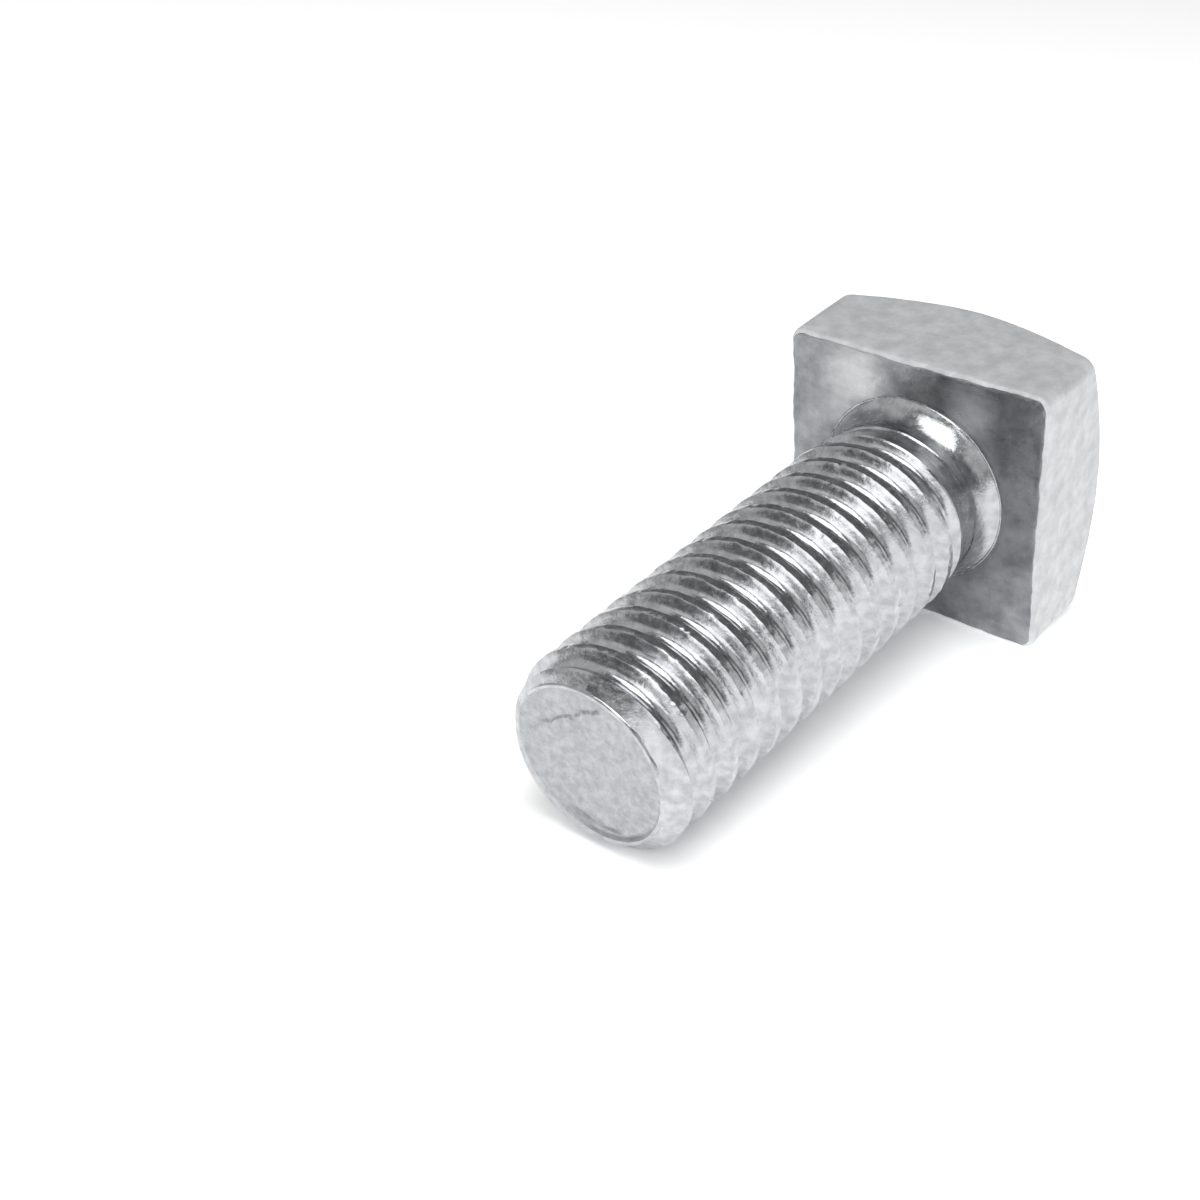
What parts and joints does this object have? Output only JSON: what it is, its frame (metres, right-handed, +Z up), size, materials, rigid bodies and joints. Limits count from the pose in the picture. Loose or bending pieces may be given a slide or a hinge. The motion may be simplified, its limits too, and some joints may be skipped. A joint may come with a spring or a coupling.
{
  "type": "square head bolt",
  "caption": "Zinc-plated steel bolt with a square bevelled head, a short bare neck and a coarse rolled thread up to its sheared, bevelled end, lying on its side.",
  "frame": {"origin": "middle of the bounding box, on the surface that the bolt lies on", "axes": "+X from the head towards the threaded end, +Z up, +Y across the bolt; the bolt's own axis leans down by 5.42 degrees towards its end, as it does when it lies on its head and thread"},
  "size_m": [0.0328, 0.0142, 0.0146],
  "materials": {
    "zinc_plated_steel": "satin"
  },
  "bodies": {
    "root": {"square_head_bolt": "zinc_plated_steel"}
  },
  "joints": []
}
